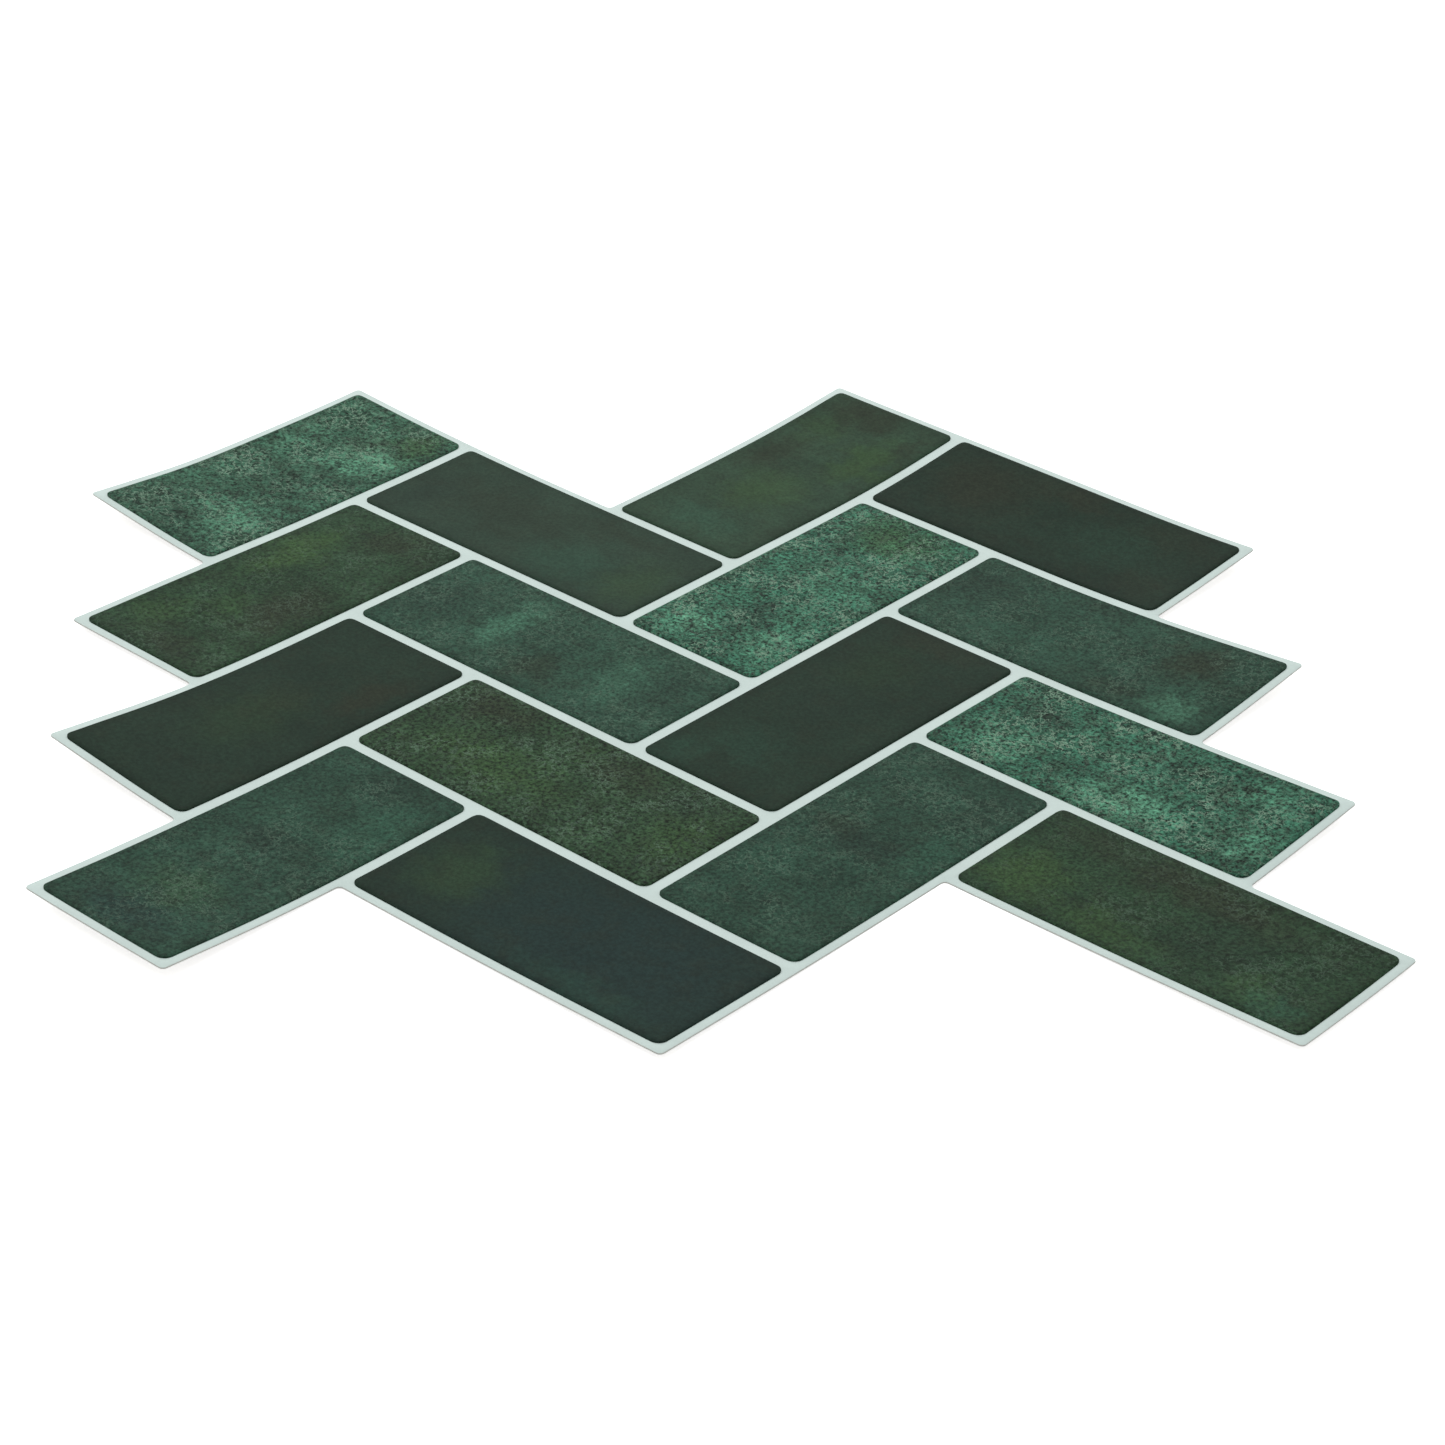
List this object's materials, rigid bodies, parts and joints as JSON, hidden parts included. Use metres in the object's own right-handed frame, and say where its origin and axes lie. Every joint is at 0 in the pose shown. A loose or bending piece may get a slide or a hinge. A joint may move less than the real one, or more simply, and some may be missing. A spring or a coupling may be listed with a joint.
{
  "type": "herringbone tile sheet",
  "caption": "Flexible toothed backing sheet carrying rounded gel tiles in a double herringbone, stuck to a wall with its edges interlocking with the next sheet.",
  "frame": {"origin": "underside of the backing sheet, at the middle of the outline's box", "axes": "+Z out of the tiled face, +Y along the sheet's long way, with the tile columns side by side along +X"},
  "size_m": [0.2926, 0.3068, 0.0056],
  "materials": {
    "backing": "satin printed film",
    "tile_emerald": "satin poured gel over a cloudy print",
    "tile_blackgreen": "satin poured gel over a cloudy print",
    "tile_olive": "satin poured gel over a cloudy print",
    "tile_teal": "satin poured gel over a cloudy print"
  },
  "bodies": {
    "root": {"backing_sheet": "backing", "tile_row1_column1": "tile_emerald", "tile_row1_column2": "tile_teal", "tile_row1_column3": "tile_olive", "tile_row1_column4": "tile_blackgreen", "tile_row2_column1": "tile_olive", "tile_row2_column2": "tile_teal", "tile_row2_column3": "tile_emerald", "tile_row2_column4": "tile_teal", "tile_row3_column1": "tile_blackgreen", "tile_row3_column2": "tile_olive", "tile_row3_column3": "tile_blackgreen", "tile_row3_column4": "tile_emerald", "tile_row4_column1": "tile_teal", "tile_row4_column2": "tile_blackgreen", "tile_row4_column3": "tile_teal", "tile_row4_column4": "tile_olive"}
  },
  "joints": []
}
